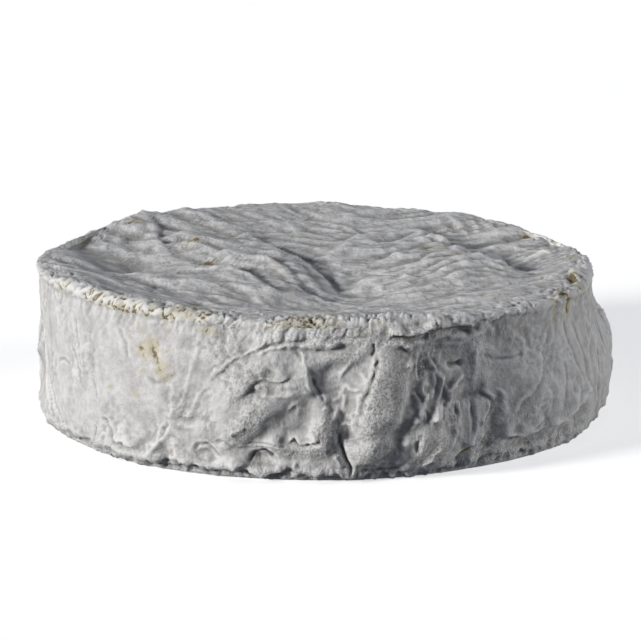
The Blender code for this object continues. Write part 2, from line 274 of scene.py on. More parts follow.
SIDE_MOUNDS = (
    Mound(-90, 16, 26, 16, 0, -1.3),  # the flat flank at the left
    Mound(-38, 1.5, 16, 4, 0, 1),  # the spreading foot
    Mound(1, 17, 12, 11, 0, 1.9),  # the blunt corner in the middle
    Mound(2.4, 17.5, 8.4, 5, 95, -2),  # broad hollow in the middle, left of the tall mound
    Mound(33, 18.5, 7, 6.6, 80, -0.8),  # shallow hollow under the end of the loose flap
    Mound(-17.4, 15.4, 9.6, 3.6, 50, 1.4),  # the full diagonal slab left of the middle
    Mound(-13.8, 11.6, 6.4, 2.7, 41, 1.7, 1.5),  # powdery mound, left of the middle
    Mound(-9.6, 7, 3.6, 1.6, 8, 0.9),
    Mound(-16.4, 12.8, 3.4, 1.5, 55, -0.7),
    Mound(-6.2, 9.6, 2.6, 1.3, 50, -0.6),
    Mound(-3.4, 12, 3.4, 1.4, 80, -1),
    Mound(-13.2, 21.4, 4.6, 1.6, 30, 0.35),
    Mound(-8.6, 21.6, 3.6, 2, 5, 0.6),
    Mound(3.4, 23.2, 4.4, 1.3, 10, 0.9, 1.3),
    Mound(0.6, 20.2, 3.4, 2.2, 30, -0.4),  # dull hollow beside the upright fold
    Mound(0, 9.8, 3.2, 2.4, 76, 1.2, 2.2),
    Mound(-6.2, 13.2, 3.4, 1.8, 60, -0.9),
    Mound(9, 26.4, 22, 1.8, 0, 1.5, 1.5),  # the rim stands out over the crumpled middle
    Mound(21, 7, 4.6, 4.2, 85, 2.6, 1.3),
    Mound(18.4, 1.6, 5.8, 2.4, 0, 0.5),
    Mound(46, 12.6, 7, 5, 10, 0.8),
    Mound(50, 23.6, 7, 4, 0, -0.8),
    Mound(-1.6, 6.4, 5.4, 1.4, 2, 0.5, 1.3),
    Mound(10.7, 16.6, 9.6, 3.9, 76, 2.3, 2.4),  # the tall powdery mound
    Mound(8.8, 6.6, 4.2, 2.2, 22, 1.6, 1.5),  # the small one under it
    Mound(4.4, 9, 1.8, 1.2, -30, -0.4),
    Mound(3.2, 6.4, 3, 1.4, -60, -0.9),
    Mound(15.6, 21.6, 1.4, 1, 30, 0.9),
    Mound(16.4, 16.4, 5.4, 1.8, 84, -0.3),
    Mound(16.6, 10.6, 8, 3.6, 84, 1.9),  # the floor of the valley right of the tall mound
    Mound(15.2, 7.6, 1.4, 0.9, -70, 0.5),
    Mound(18.4, 20.6, 2.6, 1.2, 80, -0.5),
    Mound(22, 12.4, 1.6, 1.2, 30, 0.6),
    Mound(27.6, 14, 3.4, 1.3, 12, -1.1),  # dark hollow between the flakes
    Mound(24.6, 8.4, 3.4, 2, 80, -0.8),
    Mound(25.6, 21.6, 4.4, 2.2, 5, -0.45),
    Mound(30.8, 9.4, 4.4, 1.6, 80, 0.6),
    Mound(34.6, 8.6, 3.6, 1.6, 80, -0.7),
    Mound(38.4, 16.6, 5.6, 4, 40, 0.5),
    Mound(45.6, 12.8, 4.4, 3, 10, 0.4),
    Mound(38.6, 24, 6.4, 3.2, 0, -0.9),
    Mound(44, 2.4, 9, 2.4, 4, -1.2, 1.5),
    Mound(58, 3.8, 7, 2.6, 15, -1.2, 1.5),
    Mound(36.6, 12.4, 2.4, 1.4, 80, 0.5),
    Mound(-23, 4.2, 2.5, 1.5, 10, -1.1, 2),  # rounded hollows over the foot
    Mound(-11.6, 3.8, 2.6, 1.7, -5, -1.2, 2),
    Mound(-18, 3, 2.2, 1.2, 10, 0.6),
    Mound(-31.4, 3, 1.9, 1.9, 20, -1.3),
    Mound(-36.4, 4.6, 2.2, 1.2, 50, -0.7),
    Mound(-42.6, 3, 1.6, 1.2, 0, -0.8),
    Mound(-4.6, 4, 3.2, 1.3, 5, 0.5),
    Mound(44, 3.4, 5.4, 1.6, 5, -0.7),
    Mound(-26, 24, 2.4, 1.4, 0, -0.5),
    Mound(-38.2, 22, 1.4, 2, 0, -0.4),
    Mound(-34.2, 21.2, 2, 0.9, -55, -0.45),
    Mound(-47, 12, 5, 3.4, 60, 0.35),
    Mound(-35.4, 12.4, 4.4, 3.2, 60, 0.4),
    Mound(-46, 20, 4.6, 3.2, 30, 0.35),
    Mound(-62, 9, 4.6, 2.6, 110, 0.5),
    Mound(-55, 2, 6, 2.6, 5, -1),
)

TOP_FOLDS = (
    # long soft folds, left of the middle
    lip(1.3, 3.4, (4, -17), (-0.5, -5), (-5, 5), (-10, 14), (-14, 22), (-20, 30)),
    lip(0.8, 2.2, (1, -18), (-3, -7), (-8, 4), (-13, 8.5), (-19, 7), (-24, 0)),
    lip(0.7, 1.8, (-2, -23), (-6, -11), (-11, -0.5), (-16, 3), (-22, -2.4)),
    lip(0.6, 1.7, (-7, -26), (-12, -15), (-17.6, -6.4), (-24, -5)),
    ridge(0.3, 0.7, (-4, -14), (-8.4, -5), (-13.4, 0.4)),
    crease(0.25, 0.8, (-1.6, -11), (-5.4, -2), (-9, 3.4)),
    lip(0.5, 1.6, (-6, -24), (-14, -19.4), (-24, -16), (-35, -13)),
    lip(0.4, 1.4, (-12, -29), (-21, -24.6), (-31, -20), (-39, -15)),
    # the near wall of the left bowl, and the wall behind it
    lip(0.5, 3.4, (-18, -10), (-28, -9), (-36, -7), (-42, -1), (-48, 8)),
    lip(0.8, 2, (-28, 6), (-30.6, 12), (-32.4, 20), (-33.4, 30), (-37, 41)),
    crease(0.4, 1.2, (-30, 12), (-24.6, 10), (-22, 5)),
    ridge(0.5, 1.6, (-44, 14), (-40, 22), (-36, 31)),
    # the broad hill and the steep slope at its right
    lip(1.5, 5.2, (40, -9), (34.6, 1), (30, 9), (25, 17), (20.6, 27), (17, 40)),
    lip(0.6, 1.8, (27, 14.6), (22, 20.4), (16, 21.4), (10.6, 15)),
    lip(0.5, 1.5, (30, 8), (25, 12), (19, 11.4), (14, 7.6), (9.6, 1.4)),
    lip(0.4, 1.2, (31, 4.4), (26, 7.4), (21, 5.4), (16.6, -0.6)),
    lip(0.5, 1.6, (18, 30), (12, 31), (6, 25), (2, 17)),
    ridge(0.4, 1.8, (-2, 5), (4, 14), (12, 22)),
    # streaks over the bright fold at the right
    lip(0.6, 1.1, (34, 0.4), (28.6, 2), (23.4, -1), (18.6, -6)),
    lip(0.55, 1, (35, -3.6), (29.4, -2.4), (24, -5), (19.4, -9.6)),
    lip(0.4, 0.8, (36, -7), (31, -6.4), (26, -8.4), (21, -12.6)),
    crease(0.3, 0.7, (11, -20), (19, -17), (27, -17.4)),
    lip(0.7, 1.1, (19, -10.4), (14, -8.4), (9, -6.6), (5, -8.6)),
    lip(0.5, 1, (19, -27), (14.6, -25), (10.4, -25.6)),
    # the far wall of the right bowl, and the flutes of the back bowl
    ridge(0.5, 2, (31, 22), (38, 20), (45, 12)),
    ridge(0.4, 1, (21.6, 41), (24.4, 36.4), (26, 31)),
    ridge(0.45, 0.9, (25, 42), (27.4, 37), (28.4, 31.6)),
    ridge(0.4, 0.9, (28.6, 41), (30.4, 37), (30.6, 32)),
    ridge(0.35, 0.9, (32, 39.4), (33.4, 36), (33, 32.6)),
    crease(0.3, 1.4, (-20, 27), (-8, 31), (4, 30), (14, 33)),
    lip(0.4, 1.8, (8, 34), (-2, 38), (-14, 37), (-24, 33)),
    lip(0.4, 1.6, (0, 22), (-8, 26), (-17, 24)),
    # low ridges along the front rim
    ridge(0.5, 1.4, (-8, -41), (2, -43), (12, -41.6)),
    crease(0.4, 0.9, (10, -44.6), (20, -41), (30, -36)),
    lip(0.5, 1, (36, -31), (26, -34.6), (14, -36), (4, -37)),
    # loose scales and pits at the right
    lip(0.6, 0.6, (47, -9), (45.4, -13), (46.4, -18), (46, -23)),
    lip(0.5, 0.5, (42.4, -12), (41, -16), (43, -18.6)),
)

TOP_MOUNDS = (
    Mound(-46, 20, 14, 12, 65, -2.4),  # the rim sinks a little at the back, left and right
    Mound(-24, 47, 14, 8, 20, -0.6),
    Mound(44, 26, 18, 12, 125, -2),
    Mound(-28.6, 22, 4.6, 3, 40, 0.7),
    Mound(-24.4, 15.4, 3.4, 2.4, 30, 0.5),
    Mound(6, -4, 18, 34, 0, -1.3),  # the upper face sinks towards its middle
    Mound(20, 49, 16, 8, -20, -0.8),
    Mound(-36, 1, 12, 8.6, 155, -1.3),
    Mound(7.4, -11, 4.4, 1.8, 20, 0.35),
    Mound(25, 1, 7.4, 5.4, 20, 0.8),
    Mound(38, 9, 12, 10.5, 100, -1.1),
    Mound(-6, -30, 14, 4, -8, -0.6),
    Mound(-30, -22, 14, 4, -38, -0.5),
    Mound(27.4, 35, 6.4, 4.6, 155, -0.9),
    Mound(4.6, -13, 9, 5.6, -72, -0.9),
    Mound(22, -27, 12, 4.6, 12, 1.3),
    Mound(30, -6, 12, 9, 15, 0.7),
    Mound(22.4, -18, 9, 3.4, 12, -0.4),
    Mound(43.4, -28, 1.2, 0.9, 20, -0.8),
    Mound(40.6, -31, 1.1, 0.8, -20, -0.8),
    Mound(42.4, -14.6, 0.9, 1.6, 20, -0.6),
)

# Where the white mould is thin on the side: a patch at the left and specks at the front
SIDE_STAINS = (
    Stain(-36, 22, 5.4, 3.4, -10, 0.8),
    Stain(-32.4, 19.4, 4.4, 2.8, -30, 0.76),
    Stain(-33.6, 23.2, 0.9, 0.7, 0, 1),
    Stain(-31, 22.4, 0.8, 0.6, 0, 0.95),
    Stain(-24.6, 26.6, 0.8, 0.6, 0, 1),
    Stain(-42.6, 10.6, 3.4, 1.4, 10, 0.5),
    Stain(-38.2, 21.9, 1, 1.6, 0, 0.8),
    Stain(-34.2, 21.2, 1.6, 0.6, -55, 0.85),
    Stain(-31.6, 20.6, 1.4, 1.6, 0, 0.6),
    Stain(-37, 17.6, 1, 1.4, 0, 0.6),
    Stain(-33.6, 17.4, 1.6, 0.8, 0, 0.5),
    Stain(-45.2, 13.6, 1.6, 0.9, -20, 0.8),
    Stain(-38.8, 13.4, 1.6, 0.8, 0, 0.75),
    Stain(-38.4, 26.2, 0.6, 1.2, 0, 0.95),
    Stain(-31.8, 26.4, 0.5, 1.2, 20, 0.8),
    Stain(-22.6, 26.6, 2.4, 0.6, 0, 0.95),
    Stain(-27, 28.9, 4.6, 0.9, 0, 1),
    Stain(-43, 28.6, 3, 0.8, 0, 0.85),
    Stain(-3.4, 28.8, 6.4, 0.8, 0, 0.9),
    Stain(28, 4.6, 1.3, 0.9, 30, 1),
    Stain(60.4, 24.8, 1.6, 2.2, 0, 0.5),
)

TOP_STAINS = (
    Stain(-25.4, 14.6, 2.6, 5.4, -30, 0.8),
    Stain(-22.4, 0.6, 4.4, 2.2, 50, 0.8),
    Stain(-16.4, 24, 2.6, 2.6, 0, 0.8),
    Stain(-6, 7, 5.4, 1.8, -58, 1),
    Stain(-9.4, -5.4, 3, 1.6, -45, 0.8),
    Stain(-6, -19.4, 2.8, 1.6, -50, 0.8),
    Stain(-4, 25, 3, 2.6, 0, 0.75),
    Stain(-38, 32, 2.4, 3.4, 0, 0.8),
    Stain(-47, 20, 2, 3.4, 0, 0.8),
    Stain(10.4, -6.6, 4, 2.4, -10, 1),
    Stain(20.4, 11.6, 4.8, 2.4, 10, 0.8),
    Stain(26.4, 4.4, 5.8, 2.2, 10, 0.85),
    Stain(16.8, -23.5, 3.4, 2.2, 15, 0.9),
    Stain(30, -30, 2.8, 1.8, 15, 0.8),
    Stain(46, -17.4, 1.5, 5.8, 0, 1),
    Stain(42.4, -15.4, 1.8, 3, 20, 1),
    Stain(43.4, -28, 2.2, 2.2, 0, 1),
    Stain(40.6, -31.4, 1.8, 1.6, 0, 1),
    Stain(39.4, -21.4, 2.8, 2, 20, 0.9),
    Stain(47.4, 4, 1.6, 4, 0, 0.85),
    Stain(41, 30, 2.4, 3, 0, 0.8),
)

# Random folds and mounds, in the same style, on the part of the side that has none above
WILD_FROM, WILD_TO = 92.0, 278.0
WILD_FOLDS = 64
WILD_MOUNDS = 26
WILD_SEED = 21
GRAIN_SEED = 7

LIP_REACH = (1.4, 4.5)  # the least and the most that a lip's raised side reaches back
OVAL_DEPTH = 8  # how deep under and over the surface an oval reaches, in millimetres
SCATTER_ROWS = 64  # rows of scattered points before the scatter repeats
LOOKUP = 256  # entries of the tables that a noise is drawn from

# Where the suns stand: the angle round the wheel and the rise, in degrees
KEY_FROM, KEY_COLOUR = (-61, 16.5), (1.0, 0.985, 0.965)
SIDE_FILL_FROM, SIDE_FILL_COLOUR = (92, 12), (1.0, 0.99, 0.97)
# The even light from all round: its colour, and its strength below and above
SKY_COLOUR, SKY_LOW, SKY_HIGH = (0.71, 0.79, 1.0, 1.0), 0.05, 0.12
FLOOR_HALF = 6.0  # metres
FLOOR_GLOW = 0.62
CAMERA_MIDDLE = (0, 0, 14.5)  # what the distance is measured from, in millimetres
CAMERA_AIM = (-0.76, 0.58, 2.4)  # how far off it the camera points
SENSOR_WIDTH = 36.0


def step(low, high, value):
    """0 below low, 1 above high, and an even S between them; low may be the greater."""
    share = np.clip((value - low) / (high - low), 0, 1)
    return share * share * (3 - 2 * share)


class Grain:
    """Smooth noise in space, about -0.7 to 0.7, the same each time for one seed."""

    def __init__(self, seed):
        draw = np.random.default_rng(seed)
        self.order = draw.permutation(LOOKUP)
        slopes = draw.normal(size=(LOOKUP, 3))
        self.slopes = slopes / np.linalg.norm(slopes, axis=1, keepdims=True)

    def at(self, places, size):
        spots = places / size
        low = np.floor(spots).astype(int)
        parts = spots - low
        fades = parts**3 * (parts * (parts * 6 - 15) + 10)
        total = np.zeros(len(places))
        for corner in product((0, 1), repeat=3):
            x, y, z = ((low + corner) % LOOKUP).T
            pick = self.order[(self.order[(self.order[x] + y) % LOOKUP] + z) % LOOKUP]
            share = np.prod(np.where(corner, fades, 1 - fades), axis=1)
            total += share * np.einsum("ij,ij->i", self.slopes[pick], parts - corner)
        return total

    def sum(self, places, size, layers, fade=0.5):
        """Layers of the noise, each half the size of the last."""
        return sum(
            fade**i * self.at(places + 31.7 * i, size / 2**i) for i in range(layers)
        )

    def drift(self, places, size):
        """Three noises at once, for pushing places about."""
        return np.stack([self.at(places + 57.3 * i, size) for i in (1, 2, 3)], axis=1)


def cells(across, up, wrap, seed):
    """Distances to the nearest and the next of a scatter of points, one to each unit square.

    The scatter repeats every `wrap` units across, so that it closes round the wheel.
    """
    draw = np.random.default_rng(seed)
    jitter = draw.uniform(0.1, 0.9, size=(wrap, SCATTER_ROWS, 2))
    column = np.floor(across).astype(int)
    row = np.floor(up).astype(int)
    nearest = np.full(len(across), np.inf)
    following = np.full(len(across), np.inf)
    for right, above in product((-1, 0, 1), repeat=2):
        point = jitter[(column + right) % wrap, (row + above) % SCATTER_ROWS]
        apart = np.hypot(
            across - column - right - point[:, 0], up - row - above - point[:, 1]
        )
        following = np.minimum(following, np.maximum(nearest, apart))
        nearest = np.minimum(nearest, apart)
    return nearest, following


def pillows(places, size, seed):
    """Rounded caps with sharp valleys between them, about 0 to 1, like a quilt in space."""
    draw = np.random.default_rng(seed)
    order = draw.permutation(LOOKUP)
    middles = draw.uniform(0.1, 0.9, (LOOKUP, 3))
    slopes = draw.normal(0, 0.45, (LOOKUP, 3))
    tops = draw.uniform(0.4, 1.0, LOOKUP)
    spots = places / size
    corner = np.floor(spots).astype(int)
    parts = spots - corner
    best = np.full(len(places), -np.inf)
    for beside in product((-1, 0, 1), repeat=3):
        x, y, z = ((corner + beside) % LOOKUP).T
        pick = order[(order[(order[x] + y) % LOOKUP] + z) % LOOKUP]
        apart = parts - beside - middles[pick]
        cap = tops[pick] + np.einsum("ij,ij->i", apart, slopes[pick])
        best = np.maximum(best, cap - 1.1 * np.einsum("ij,ij->i", apart, apart))
    return best


class Form:
    """The wheel's plain form, read from its node in the frame, in millimetres."""

    def __init__(self, node):
        corners = [vertex.co / MM for vertex in node.data.vertices]
        faces = [tuple(face.vertices) for face in node.data.polygons]
        self.tree = BVHTree.FromPolygons(corners, faces)

    def meet(self, start, way):
        """Where a ray meets the wheel. One that slips through a seam is moved a little."""
        for nudge in (0, 0.002, -0.002, 0.005):
            spot = self.tree.ray_cast(start + Vector((nudge, nudge * 0.7, nudge * 0.3)), way)[0]
            if spot is not None:
                return spot
        raise RuntimeError(f"a ray from {start} does not meet the wheel")

    def radius(self, turn, height):
        """How far out the side is, at an angle in radians and a height."""
        out = Vector((math.sin(turn), -math.cos(turn), 0))
        spot = self.meet(out * WHEEL_RADIUS * 2 + Vector((0, 0, height)), -out)
        return math.hypot(spot.x, spot.y)

    def height(self, x, y):
        """How high the upper face is at a point of the plan."""
        return self.meet(Vector((x, y, WHEEL_HEIGHT * 2)), Vector((0, 0, -1))).z

    @lru_cache(maxsize=None)
    def rim(self, turn):
        """Radius and height of the rim's edge at an angle."""
        inside = self.radius(turn, WHEEL_HEIGHT / 2) - EDGE_CLEAR
        height = self.height(inside * math.sin(turn), -inside * math.cos(turn))
        return self.radius(turn, height - EDGE_CLEAR), height

    def side_spot(self, angle, height):
        """The point of the side at an angle in degrees and a height."""
        turn = math.radians(angle)
        lowest, highest = EDGE_CLEAR, self.rim(turn)[1] - EDGE_CLEAR
        radius = self.radius(turn, min(max(height, lowest), highest))
        return Vector((radius * math.sin(turn), -radius * math.cos(turn), height))

    def top_spot(self, x, y):
        """The point of the upper face over a point of the plan."""
        turn = math.atan2(x, -y)
        radius = min(math.hypot(x, y), self.rim(turn)[0] - EDGE_CLEAR)
        height = self.height(radius * math.sin(turn), -radius * math.cos(turn))
        return Vector((x, y, height))


def press_into_disc(vertex):
    """Moves a point of a square grid to its place on the round plan."""
    x, y = vertex.co.x, vertex.co.y
    if x == y == 0:
        return
    if abs(x) > abs(y):
        radius, turn = x, math.pi / 4 * y / x
    else:
        radius, turn = y, math.pi / 2 - math.pi / 4 * x / y
    vertex.co.x, vertex.co.y = radius * math.cos(turn), radius * math.sin(turn)


def extrude_ring(bm, edges):
    """Extrudes an open edge of the blank, and returns the new edges and points."""
    grown = bmesh.ops.extrude_edge_only(bm, edges=edges)["geom"]
    edges = [item for item in grown if isinstance(item, bmesh.types.BMEdge)]
    return edges, [item for item in grown if isinstance(item, bmesh.types.BMVert)]


def blank_rind(bm, columns, side_rows):
    """A closed round blank of radius 1 whose side has one unit of height to each row."""
    bmesh.ops.create_grid(bm, x_segments=columns, y_segments=columns, size=1.0)
    for vertex in bm.verts:
        press_into_disc(vertex)
    edges = [edge for edge in bm.edges if edge.is_boundary]
    for _ in range(RIM_ROWS + side_rows + FOOT_ROWS):
        edges, ring = extrude_ring(bm, edges)
        bmesh.ops.translate(bm, verts=ring, vec=(0, 0, -1))
    width = 1.0
    for share in UNDER_RINGS:
        edges, ring = extrude_ring(bm, edges)
        bmesh.ops.scale(bm, verts=ring, vec=(share / width, share / width, 1))
        width = share
    bmesh.ops.pointmerge(bm, verts=ring, merge_co=(0, 0, ring[0].co.z))


def lay_blank(bm, form, side_rows, crowd):
    """Lays the blank over the wheel's form. Returns how far past the rim each point is."""
    quarter = math.pi / 2
    past_rim = []
    for vertex in bm.verts:
        share, row = math.hypot(vertex.co.x, vertex.co.y), round(-vertex.co.z)
        turn = math.atan2(vertex.co.x, -vertex.co.y)
        turn = round(turn - crowd * math.sin(turn), 9)
        rim_radius, rim_height = form.rim(turn)
        flat = rim_radius - RIM_ROUND
        side_top = rim_height - RIM_ROUND
        foot_radius = form.radius(turn, EDGE_CLEAR)
        if row == 0:
            radius = flat * share * (1 + RING_CROWD - RING_CROWD * share * share)
            read = min(radius, rim_radius - EDGE_CLEAR)
            height = form.height(read * math.sin(turn), -read * math.cos(turn))
            past = radius - flat - RIM_ROUND * quarter / 2
        elif row <= RIM_ROWS:
            bend = quarter * row / RIM_ROWS
            radius = flat + RIM_ROUND * math.sin(bend)
            height = side_top + RIM_ROUND * math.cos(bend)
            past = RIM_ROUND * (bend - quarter / 2)
        elif row <= RIM_ROWS + side_rows:
            height = side_top + (FOOT_ROUND - side_top) * (row - RIM_ROWS) / side_rows
            read = min(max(height, EDGE_CLEAR), rim_height - EDGE_CLEAR)
            radius = form.radius(turn, read)
            past = RIM_ROUND * quarter / 2 + side_top - height
        else:
            bend = quarter * (row - RIM_ROWS - side_rows) / FOOT_ROWS
            radius = (foot_radius - FOOT_ROUND + FOOT_ROUND * math.cos(bend)) * share
            height = FOOT_ROUND * (1 - math.sin(bend))
            past = rim_height - height
        vertex.co = (radius * math.sin(turn), -radius * math.cos(turn), height)
        past_rim.append(past)
    return np.array(past_rim)


def smooth_line(points):
    """A smooth line through the points, several times as many."""
    points = [np.array(point) for point in points]
    points = [2 * points[0] - points[1], *points, 2 * points[-1] - points[-2]]
    line = []
    for before, start, end, after in zip(points, points[1:], points[2:], points[3:]):
        for t in np.linspace(0, 1, 7)[:-1]:
            line.append(
                0.5 * (2 * start + (end - before) * t
                       + (2 * before - 5 * start + 4 * end - after) * t**2
                       + (3 * start - before - 3 * end + after) * t**3)
            )
    line.append(points[-2])
    return np.array(line)


def nearest_on(line, places, outward):
    """Signed distance from a line, left of its way positive, and the share along it."""
    best = np.full(len(places), np.inf)
    signed = np.zeros(len(places))
    along = np.zeros(len(places))
    for i, (start, end) in enumerate(zip(line, line[1:])):
        way = end - start
        share = np.clip((places - start) @ way / (way @ way), 0, 1)
        apart = places - start - share[:, None] * way
        distance = np.linalg.norm(apart, axis=1)
        nearer = distance < best
        side = np.sign(np.einsum("ij,ij->i", np.cross(way, apart), outward))
        best = np.where(nearer, distance, best)
        signed = np.where(nearer, distance * side, signed)
        along = np.where(nearer, (i + share) / (len(line) - 1), along)
    return signed, along


def fold_profile(form, distance, width, reach):
    """Height across a fold of height 1, by signed distance from its line."""
    sharp = np.exp(-np.abs(distance) / (0.75 * width))
    if form == "ridge":
        return 0.75 * sharp + 0.35 * np.exp(-((distance / (2 * width)) ** 2))
    if form == "crease":
        shoulder = np.exp(-(((np.abs(distance) - 2 * width) / width) ** 2))
        return 0.2 * shoulder - sharp - 0.25 * np.exp(-((distance / (2.4 * width)) ** 2))
    edge = 0.5 + 0.5 * np.tanh(distance / (0.4 * width))
    raised = 0.35 * np.exp(-np.maximum(distance, 0) / width)
    raised = raised + 0.75 * np.exp(-((np.maximum(distance, 0) / reach) ** 2))
    sunk = np.exp(-((np.minimum(distance, 0) / (2.4 * width)) ** 2))
    return edge * raised - 0.4 * (1 - edge) * sunk


class Rind:
    """The points of the rind, in millimetres, and the relief that is pressed into them.

    In the sums of noise below, the number in front is the height and the one behind the
    places is the size of the waves, both in millimetres. A number added to the places only
    picks another part of the same noise, and the last number of pillows is their seed.
    """

    def __init__(self, form, places, outward, past_rim):
        self.form = form
        self.places = places
        self.outward = outward
        self.past_rim = past_rim
        self.relief = np.zeros(len(places))
        self.powder = np.zeros(len(places))
        self.bare = np.zeros(len(places))
        # painted light: how much lighter the pleats at the front are painted, where the real ones
        # catch more light
        self.pale = np.zeros(len(places))
        self.angle = np.degrees(np.arctan2(places[:, 0], -places[:, 1]))
        self.arc = np.radians(self.angle) * WHEEL_RADIUS
        self.top = step(1.5, -1.5, past_rim)
        self.under = step(0.5, -0.2, places[:, 2])
        self.side = (1 - self.top) * (1 - self.under)
        self.grain = Grain(GRAIN_SEED)
        # natural edges waver, so the shapes are looked up at places pushed about a little
        self.wavering = (
            places + 0.7 * self.grain.drift(places, 4.2) + 0.4 * self.grain.drift(places, 1.5)
        )

    def about(self, stretch):
        """1 in the middle of a stretch, fading to 0 at its reach on both sides."""
        angle, reach = stretch
        return step(reach, 0, np.abs((self.angle - angle + 180) % 360 - 180))

    def spot(self, on_top, across, up):
        return self.form.top_spot(across, up) if on_top else self.form.side_spot(across, up)

    def press_fold(self, fold, on_top=False):
        line = smooth_line([self.spot(on_top, *point) for point in fold.points])
        length = np.linalg.norm(np.diff(line, axis=0), axis=1).sum()
        reach = min(max(0.3 * length, LIP_REACH[0]), LIP_REACH[1])
        margin = 3 * reach + 3 * fold.width
        near = np.all(
            (self.places > line.min(0) - margin) & (self.places < line.max(0) + margin), axis=1
        )
        distance, along = nearest_on(line, self.wavering[near], self.outward[near])
        vary = 1 + 1.1 * self.grain.at(self.places[near] + 11, 2.6)
        ends = step(0, 0.22, along) * step(1, 0.78, along)
        # past the ends of the line the nearest point is its end, where the height is 0
        width = (0.8 if on_top else 0.72) * fold.width * (0.6 + 0.4 * ends)
        shape = fold_profile(fold.form, distance, width, reach)
        self.relief[near] += fold.height * vary * ends * shape

    def oval(self, oval, on_top):
        """Squared distance from an oval's middle, 1 at its edge."""
        middle = np.array(self.spot(on_top, oval.across, oval.up))
        turn = math.radians(oval.across)
        if on_top:
            right, back = np.array((1, 0, 0)), np.array((0, 1, 0))
            through = np.array((0, 0, 1))
        else:
            right = np.array((math.cos(turn), math.sin(turn), 0))
            back = np.array((0, 0, 1))
            through = np.array((math.sin(turn), -math.cos(turn), 0))
        lean = math.radians(oval.turn)
        apart = self.wavering - middle
        along = apart @ (right * math.cos(lean) + back * math.sin(lean)) / oval.length
        across = apart @ (back * math.cos(lean) - right * math.sin(lean)) / oval.width
        depth = apart @ through / OVAL_DEPTH
        return along**2 + across**2 + depth**2

    def press_mound(self, mound, on_top=False):
        shape = np.exp(-self.oval(mound, on_top) ** mound.power)
        self.relief += mound.height * shape
        if mound.height > 0 and mound.power > 1:
            self.powder = np.maximum(self.powder, shape)

    def stain(self, stain, on_top):
        self.bare = np.maximum(self.bare, stain.strength * np.exp(-self.oval(stain, on_top)))

    def press_swells(self):
        """Slow waves, and the crumpled look of rind that has shrunk as it dried."""
        noise, places = self.grain, self.places
        middle = step(42, 18, np.abs(self.angle - 4))
        rough = self.side * (0.8 - 0.36 * self.about(LEFT_CHEEK) - 0.3 * self.about(RIGHT_CHEEK))
        pushed = places + 2.4 * noise.drift(places, 9) + 0.8 * noise.drift(places, 3)
        patchy = step(-0.1, 0.3, noise.at(places + 91, 7))
        self.relief += 0.5 * noise.at(places, 13) * self.side
        self.relief += 0.28 * noise.at(places, 11) * self.top
        self.relief += (rough + 0.4 * self.side * middle) * noise.at(pushed + 40, 6.5)
        self.relief += rough * 0.35 * (0.45 - pillows(pushed, 7.5, 31))
        self.relief += rough * 0.5 * patchy * (0.55 - pillows(pushed, 3.6, 32))
        self.relief += rough * 0.3 * noise.at(pushed, 3.2)
        self.powder = np.maximum(self.powder, 0.55 * middle * patchy * self.side)
        fine = rough * (0.14 + 0.34 * patchy)
        self.relief += fine * noise.sum(pushed, 1.9, 3, 0.65)

    def press_streaks(self):
        """Fine wrinkles over the upper face, which run with its long folds."""
        noise, places = self.grain, self.places
        pushed = places + 4.5 * noise.drift(places, 16) + 0.8 * noise.drift(places, 4)
        patchy = step(-0.1, 0.35, noise.at(places + 71, 9))
        rightness = step(0, 18, places[:, 0])
        for way, share in ((-46, 1 - rightness), (26, rightness)):
            lean = math.radians(way)
            along = pushed[:, 0] * math.cos(lean) + pushed[:, 1] * math.sin(lean)
            across = pushed[:, 1] * math.cos(lean) - pushed[:, 0] * math.sin(lean)
            spots = np.stack([along / 3.6, across, places[:, 2] * 0], axis=1)
            share = share * self.top
            self.relief += 0.9 * share * noise.at(spots, 6.5)
            self.relief += 0.55 * share * noise.at(spots + 20, 3.1)
            self.relief += 0.5 * share * (0.3 + patchy) * noise.sum(spots + 30, 2.1, 2, 0.6)
        self.relief += self.top * 0.3 * (0.5 - pillows(pushed, 8, 33))
        self.relief += self.top * 0.2 * patchy * (0.5 - pillows(pushed, 3.4, 34))
        self.relief += 0.16 * self.top * (0.2 + patchy) * noise.sum(places, 2.2, 3, 0.65)

    def press_rim(self):
        """Scales of rind round the rim, and the pleats that hang from them down the side."""
        round_wheel = math.tau * WHEEL_RADIUS
        across = self.arc / round_wheel + 0.5
        wander = self.grain.at(self.places, 6)
        inner = self.grain.at(self.places + 15, 8)
        jitter = self.grain.at(self.places + 27, 2.2)
        uneven = self.grain.at(self.places + 45, 3.2)
        band = step(-7.5 - 4 * inner, -1.6, self.past_rim) * step(1.5, 0.3, self.past_rim)
        band = band * (0.45 + 0.55 * step(50, -30, self.places[:, 1]))
        band = band * (1 - 0.8 * self.about(SMOOTH_RIM) * step(-2.0, 0.0, self.past_rim))
        patchy = np.clip(0.75 + 1.5 * self.grain.at(self.places + 5, 5), 0.15, 2)
        cracks = np.zeros(len(self.places))
        for size, height, seed in SCALES:
            count = round(round_wheel / size)
            up = (self.past_rim + 30) / (0.75 * size) + 1.8 * wander + 0.9 * jitter
            lean = 0.5 * self.past_rim / size
            turned = across * count + lean + 1.6 * inner + 1.1 * uneven
            nearest, following = cells(turned, up, count, seed)
            scale = step(0, 0.3, following - nearest) - 0.6 + 0.6 * (0.45 - nearest)
            self.relief += band * patchy * height * scale
            cracks = np.maximum(cracks, 1 - step(0.04, 0.26, following - nearest))
        pleated = 0.3 + 0.7 * self.about(PLEATS) - 0.26 * self.about(LOOSE_FLAP)
        fringe = step(-0.6, 0.5, self.past_rim) * step(4.6 + 3 * wander, 1.2, self.past_rim)
        count = round(round_wheel / PLEAT_SIZE)
        lean = 0.16 * self.past_rim * (1 + 2 * inner)
        turned = across * count + lean + 1.6 * wander + 0.8 * jitter
        pleat, following = cells(turned, self.past_rim / PLEAT_LENGTH + 9, count, PLEAT_SEED)
        edge = step(0, 0.4, following - pleat) - 0.6 + 0.8 * (0.45 - pleat)
